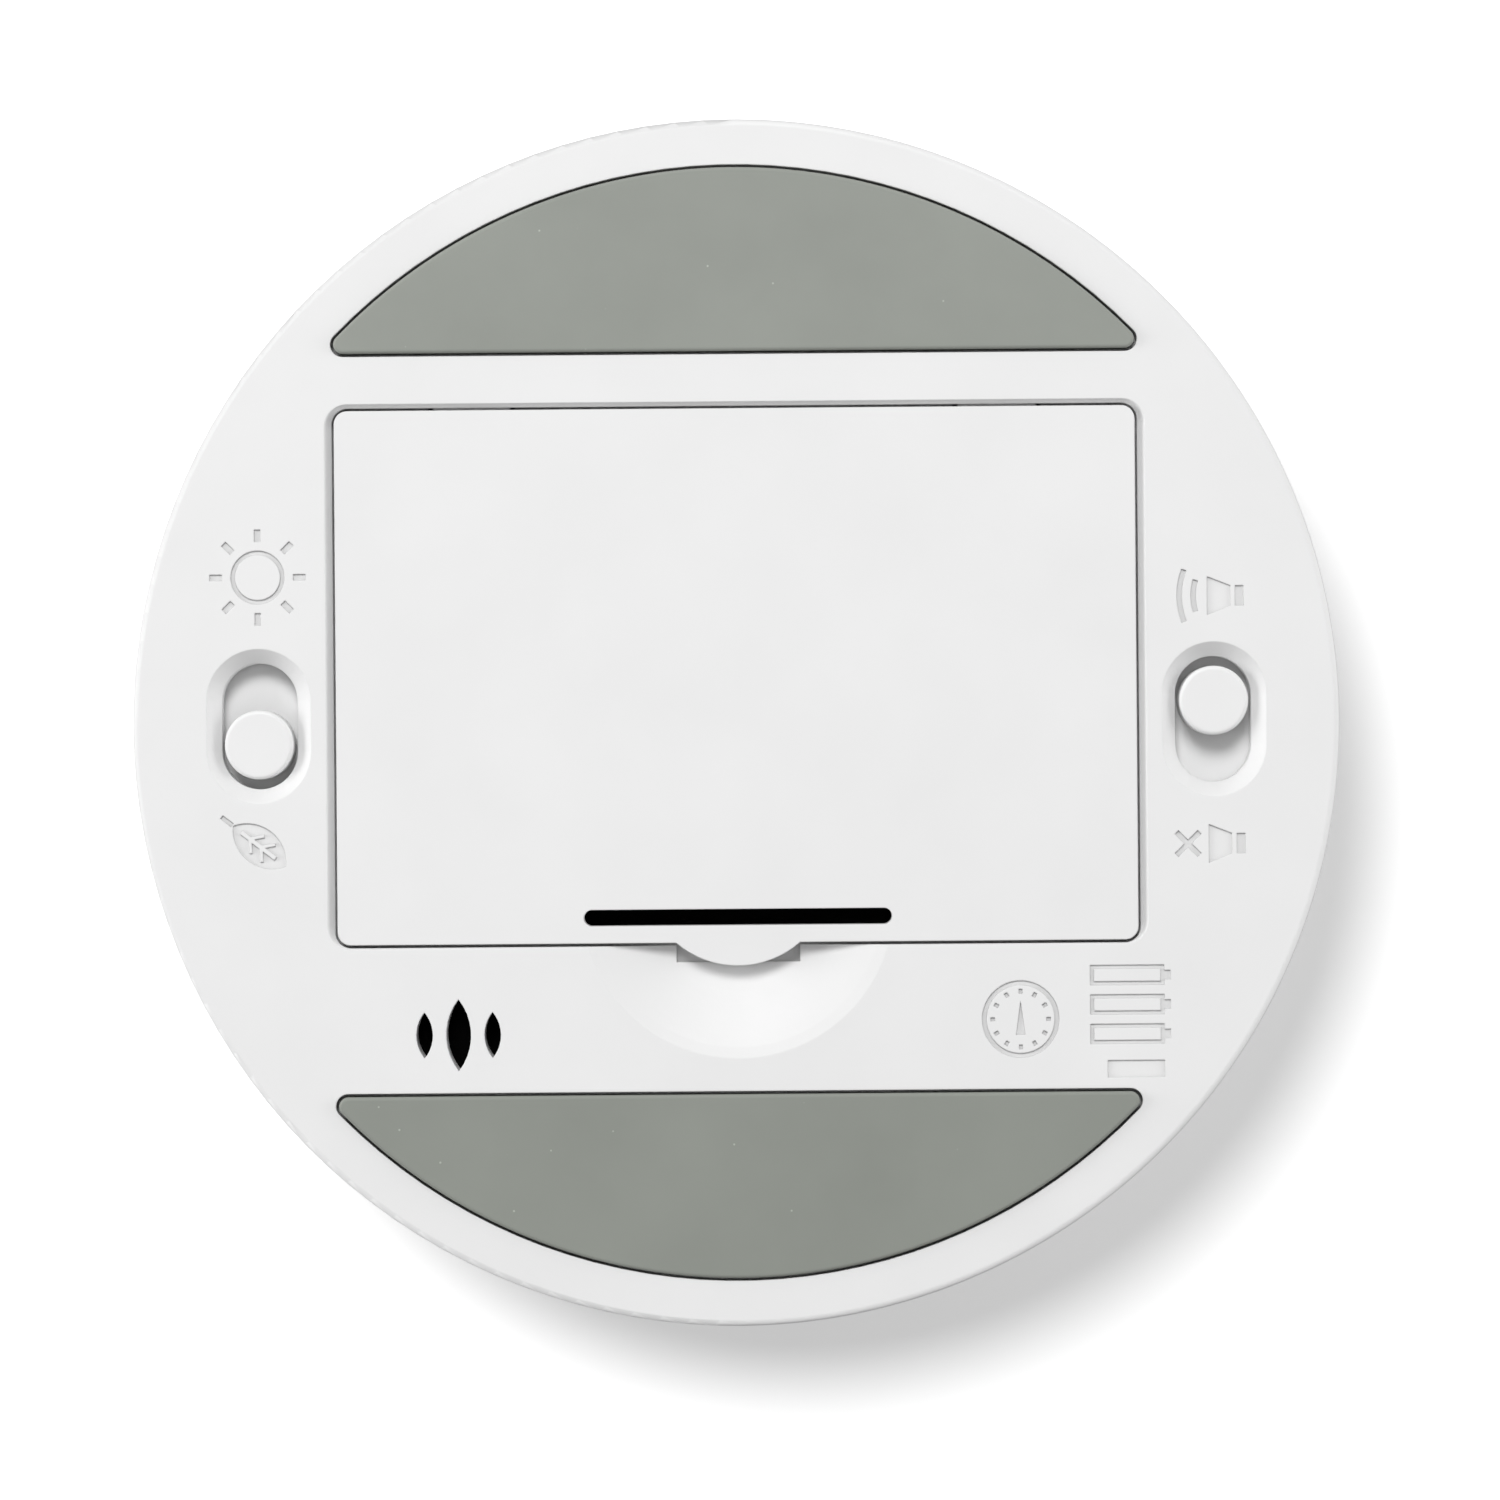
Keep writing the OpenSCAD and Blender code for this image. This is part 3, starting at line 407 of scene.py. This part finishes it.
FLUTES = 60
TEETH = 96
STEPS_PER_FLUTE = 16
GRIP_MARGIN = 1.5 * MM            # from a flute's end to the ring's edge


def flute_depth(turn, z):
    """How deep the grip's flutes are, at a share of the turn round the ring and at a height."""
    cutter_r, cutter_out = 1.4 * MM, 1.05 * MM
    angle = ((turn * FLUTES + 0.5) % 1.0 - 0.5) * 2 * math.pi / FLUTES
    across = (ring_r + cutter_out) * math.sin(angle)
    if abs(across) >= cutter_r:
        return 0.0
    full = ring_r - (ring_r + cutter_out) * math.cos(angle) + math.sqrt(cutter_r ** 2 - across ** 2)
    low, high, run_out = ring_low.z + GRIP_MARGIN, ring_high.z - GRIP_MARGIN, 0.7 * MM
    inside = min(z - low, high - z) / run_out
    if inside <= 0.0:
        return 0.0
    return max(0.0, full) * math.sqrt(1 - (1 - min(1.0, inside)) ** 2)


def index_depth(turn, radius, z):
    """How much the index groove, at +Y, lowers the ring's top edge."""
    half_width, depth, at_turn = 0.3 * MM, 0.3 * MM, 0.25
    if abs(turn - at_turn) * 2 * math.pi * radius >= half_width:
        return 0.0
    return max(0.0, z - (ring_high.z - depth))


def fluted_shell(name, profile, steps):
    """A closed section turned round Z, whose outer wall has the flutes and whose top has the index groove."""
    verts = []
    for r, z in profile:
        for i in range(steps):
            turn = i / steps
            radius = r - (flute_depth(turn, z) if r > ring_r - 0.01 * MM else 0.0)
            angle = 2 * math.pi * turn
            verts.append((radius * math.cos(angle), radius * math.sin(angle), z - index_depth(turn, r, z)))
    faces = []
    for k in range(len(profile)):
        after = (k + 1) % len(profile)
        for i in range(steps):
            j = (i + 1) % steps
            faces.append((k * steps + i, k * steps + j, after * steps + j, after * steps + i))
    return mesh_object(name, verts, faces)


def ring_section():
    """The ring's section as (radius, height) points: skirt, grip, soft top edge, inner lip and race."""
    top, bottom = ring_high.z, ring_low.z
    inner = ring_r - 1.8 * MM
    top_edge, low_edge, small = 0.9 * MM, 0.25 * MM, 0.12 * MM
    lip_r, lip_top = 34.8 * MM, top - 1.2 * MM
    race_r, race_low = 33.3 * MM, bottom + 1.1 * MM
    points = [(ring_r - 1.25 * MM, bottom), (ring_r - 0.8 * MM, bottom)]
    points += arc_points((ring_r - low_edge, bottom + low_edge), low_edge, -math.pi / 2, 0.0, 4)
    rise_low, rise_high = bottom + low_edge, top - top_edge
    points += [(ring_r, rise_low + (rise_high - rise_low) * i / 48) for i in range(1, 48)]
    points += arc_points((ring_r - top_edge, top - top_edge), top_edge, 0.0, math.pi / 2, 12)
    points += arc_points((inner + small, top - small), small, math.pi / 2, math.pi, 4)
    points += [(inner, lip_top), (lip_r, lip_top), (lip_r, lip_top - 1.1 * MM), (inner, lip_top - 1.1 * MM)]
    points += [(inner, race_low + 1.3 * MM), (race_r, race_low + 1.3 * MM), (race_r, race_low)]
    points += [(ring_r - 1.25 * MM, race_low)]
    return points


def ring_gear(name):
    """The internal gear in the ring, a gap of which faces the encoder's pinion."""
    low, high = 20.2 * MM, 22.8 * MM
    module = 0.72 * MM
    pitch_r = module * TEETH / 2
    root_r, tip_r = pitch_r + 0.64 * MM, pitch_r - 0.45 * MM
    rim_r = ring_r - 1.7 * MM
    tooth = [(root_r, -1.05), (tip_r, -0.5), (tip_r, 0.5), (root_r, 1.05)]
    corners = []
    for i in range(TEETH):
        middle = 180 + 360 * (i + 0.5) / TEETH
        corners += [(r, math.radians(middle + degrees)) for r, degrees in tooth]
    verts = []
    for z in (low, high):
        verts += [(r * math.cos(a), r * math.sin(a), z) for r, a in corners]
        verts += [(rim_r * math.cos(a), rim_r * math.sin(a), z) for r, a in corners]
    count = len(corners)
    faces = []
    for i in range(count):
        j = (i + 1) % count
        faces.append((j, j + count, i + count, i))
        faces.append((i + 3 * count, j + 3 * count, j + 2 * count, i + 2 * count))
        faces.append((i + 2 * count, j + 2 * count, j, i))
        faces.append((j + count, j + 3 * count, i + 3 * count, i + count))
    return mesh_object(name, verts, faces, smooth=False)


ring_grip = fluted_shell("ring_grip", ring_section(), FLUTES * STEPS_PER_FLUTE)
add_piece(ring_grip, "dial", "ring_plastic", "dial_ring")
add_piece(ring_gear("ring_gear"), "dial", "ring_plastic")

# ---------------------------------------------------------------- cells


def lathe(name, profile, closed=False, steps=96):
    """A surface of revolution about +Z through (radius, height) points. A radius of 0 closes it in a point.

    A closed profile runs back to its first point.
    """
    verts, rings = [], []
    for radius, height in profile:
        if radius == 0.0:
            rings.append([len(verts)] * steps)
            verts.append((0.0, 0.0, height))
        else:
            rings.append(range(len(verts), len(verts) + steps))
            for i in range(steps):
                a = 2 * math.pi * i / steps
                verts.append((radius * math.cos(a), radius * math.sin(a), height))
    faces = []
    for low_ring, high_ring in zip(rings, rings[1:] + (rings[:1] if closed else [])):
        for i in range(steps):
            j = (i + 1) % steps
            corners = (low_ring[i], low_ring[j], high_ring[j], high_ring[i])
            faces.append(tuple(dict.fromkeys(corners)))
    return mesh_object(name, verts, faces)


def in_metres(points):
    """Points in millimetres turned into metres."""
    return [(r * MM, z * MM) for r, z in points]


def cell(node):
    """An AAA cell: a printed sleeve shrunk over both ends of a steel can with its nub."""
    low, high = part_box(node)
    nub_side = 1 if high.x > -low.x else -1
    flat_end = low.x if nub_side > 0 else high.x
    r, l = CELL_R, CELL_SLEEVE
    sleeve = lathe(node + "_sleeve", in_metres([
        (4.1, 0.34), (4.45, 0.1), (4.85, 0.0), (5.12, 0.1), (r, 0.4), (r, 8), (r, 20), (r, 32), (r, l - 0.6),
        (5.15, l - 0.25), (4.9, l - 0.06), (4.5, l), (3.9, l - 0.1), (3.6, l - 0.34), (4.1, l - 0.5)]),
        closed=True)
    can = lathe(node + "_can", in_metres([
        (0.0, 0.06), (2.5, 0.06), (2.75, 0.12), (2.9, 0.32), (4.3, 0.32), (4.3, l - 0.36), (2.6, l - 0.36),
        (2.4, l - 0.22), (2.0, l - 0.2), (1.9, l - 0.05), (1.9, l + 0.7), (1.82, l + 0.9), (1.6, l + 1.0),
        (0.0, l + 1.0)]))
    for part in (sleeve, can):
        part.location = (flat_end, (low.y + high.y) / 2, (low.z + high.z) / 2)
        part.rotation_euler = (0.0, nub_side * math.pi / 2, 0.0)
    add_piece(sleeve, "housing", "cell_jacket", node)
    add_piece(can, "housing", "contact_metal")


for row in (1, 2, 3):
    cell(f"battery_{row}")

# ---------------------------------------------------------------- stage


def faded(tree, near, glow, start=0.15, end=1.0):
    """From one shader to an even white glow, between two distances from the stage's centre in metres."""
    place = tree.nodes.new("ShaderNodeTexCoord")
    distance = tree.nodes.new("ShaderNodeVectorMath")
    distance.operation = "LENGTH"
    far = tree.nodes.new("ShaderNodeMapRange")
    far.interpolation_type = "SMOOTHSTEP"
    far.inputs["From Min"].default_value = start
    far.inputs["From Max"].default_value = end
    even = tree.nodes.new("ShaderNodeEmission")
    even.inputs["Strength"].default_value = glow
    blend = tree.nodes.new("ShaderNodeMixShader")
    tree.links.new(place.outputs["Object"], distance.inputs[0])
    tree.links.new(distance.outputs["Value"], far.inputs["Value"])
    tree.links.new(far.outputs["Result"], blend.inputs["Fac"])
    tree.links.new(near, blend.inputs[1])
    tree.links.new(even.outputs["Emission"], blend.inputs[2])
    return blend.outputs["Shader"]


def one_sided(name, color, glow=0.0, far_glow=None):
    """A stage surface that shows only from the side that its normal points to.

    It glows a little. Far away it may fade into an even glow, so that it meets the background without a line.
    """
    material = bpy.data.materials.new(name)
    material.use_nodes = True
    tree = material.node_tree
    tree.nodes.clear()
    out = tree.nodes.new("ShaderNodeOutputMaterial")
    mix = tree.nodes.new("ShaderNodeMixShader")
    side = tree.nodes.new("ShaderNodeNewGeometry")
    paint = tree.nodes.new("ShaderNodeBsdfPrincipled")
    clear = tree.nodes.new("ShaderNodeBsdfTransparent")
    paint.inputs["Base Color"].default_value = (*color, 1.0)
    paint.inputs["Roughness"].default_value = 0.9
    paint.inputs["Specular IOR Level"].default_value = 0.0
    paint.inputs["Emission Color"].default_value = (1.0, 1.0, 1.0, 1.0)
    paint.inputs["Emission Strength"].default_value = glow
    front = paint.outputs["BSDF"]
    if far_glow is not None:
        front = faded(tree, front, far_glow)
    tree.links.new(side.outputs["Backfacing"], mix.inputs["Fac"])
    tree.links.new(front, mix.inputs[1])
    tree.links.new(clear.outputs["BSDF"], mix.inputs[2])
    tree.links.new(mix.outputs["Shader"], out.inputs["Surface"])
    return material


def stage_plane(name, z, half, facing, material):
    """A square of stage at height z, facing +1 upwards or -1 downwards, which only the camera sees."""
    corners = [(-half, -half, z), (half, -half, z), (half, half, z), (-half, half, z)]
    plane = mesh_object(name, corners, [(0, 1, 2, 3) if facing > 0 else (3, 2, 1, 0)], smooth=False)
    set_material(plane, material)
    for ray in ("shadow", "diffuse", "glossy", "transmission"):
        setattr(plane, "visible_" + ray, False)
    return plane


BACKGROUND_GLOW = 0.87            # what the camera sees far away
CARD_Z = 13 * MM                  # the backdrop of the view from below
FLOOR_Z = -0.05 * MM              # just under the pads, so that their lower faces stay clear of it
FLOOR_HALF, CARD_HALF = 6.0, 0.6
stage_plane("floor", FLOOR_Z, FLOOR_HALF, 1,
            one_sided("floor_paint", (0.82, 0.82, 0.82), far_glow=BACKGROUND_GLOW))
card = stage_plane("card", CARD_Z, CARD_HALF, -1, one_sided("card_paint", (0.95, 0.95, 0.95), glow=0.24))


def area_light(name, direction, distance, size, power, lights_card=False):
    """A round softbox in a direction from the object's centre, aimed at it.

    It lights either the card alone or everything but the card.
    """
    data = bpy.data.lights.new(name, "AREA")
    data.shape = "DISK"
    data.size = size
    data.energy = power
    light = to_scene(bpy.data.objects.new(name, data))
    centre = Vector((0.0, 0.0, top_z / 2))
    towards = Vector(direction).normalized()
    light.location = centre + towards * distance
    light.rotation_euler = (-towards).to_track_quat("-Z", "Y").to_euler()
    linked = bpy.data.collections.new(name + "_receivers")
    linked.objects.link(card)
    linked.collection_objects[0].light_linking.link_state = "INCLUDE" if lights_card else "EXCLUDE"
    light.light_linking.receiver_collection = linked
    return light


# Seen from below, the picture's left is +X and its top is +Y. The key comes from the top, and two weak
# fills from the sides. The backdrop has its own light from the upper left, which throws the soft shadow.
# The last one is for the views of the face.
area_light("key_below", (0.12, 0.62, -1.0), distance=0.9, size=0.35, power=4.7)
area_light("fill_left", (1.0, 0.05, -0.3), distance=0.8, size=0.4, power=2.9)
area_light("fill_right", (-1.0, 0.05, -0.3), distance=0.8, size=0.4, power=1.9)
area_light("card_light", (0.37, 0.48, -1.0), distance=0.9, size=0.5, power=7.6, lights_card=True)
area_light("key_above", (0.22, 0.05, 1.2), distance=0.9, size=0.5, power=8.0)

# The camera sees a paler background than the one that lights the object.
WORLD_LIGHT = 0.35
world = bpy.data.worlds.new("studio")
world.use_nodes = True
tree = world.node_tree
background = tree.nodes["Background"]
background.inputs["Color"].default_value = (1.0, 1.0, 1.0, 1.0)
rays = tree.nodes.new("ShaderNodeLightPath")
strength = tree.nodes.new("ShaderNodeMapRange")
strength.inputs["To Min"].default_value = WORLD_LIGHT
strength.inputs["To Max"].default_value = BACKGROUND_GLOW
tree.links.new(rays.outputs["Is Camera Ray"], strength.inputs["Value"])
tree.links.new(strength.outputs["Result"], background.inputs["Strength"])
bpy.context.scene.world = world
bpy.context.scene.view_settings.view_transform = "Standard"

# ---------------------------------------------------------------- camera

LENS_MM = 120.0
SENSOR_MM = 36.0
FRAME_WIDTH = 96.85 * MM          # what the picture spans at the underside
AIM = (-0.86 * MM, -1.78 * MM)    # the picture's middle, as the disc sits a little off it in the photo
PICTURE_TURN = 0.46               # degrees by which the disc is turned in the photo
camera_distance = FRAME_WIDTH * LENS_MM / SENSOR_MM
camera_data = bpy.data.cameras.new("camera")
camera_data.lens = LENS_MM
camera_data.sensor_width = SENSOR_MM
camera_data.clip_start = 0.01
camera = to_scene(bpy.data.objects.new("camera", camera_data))
camera.location = (*AIM, under_z - camera_distance)
camera.rotation_euler = (0.0, math.pi, math.radians(PICTURE_TURN))
bpy.context.scene.camera = camera
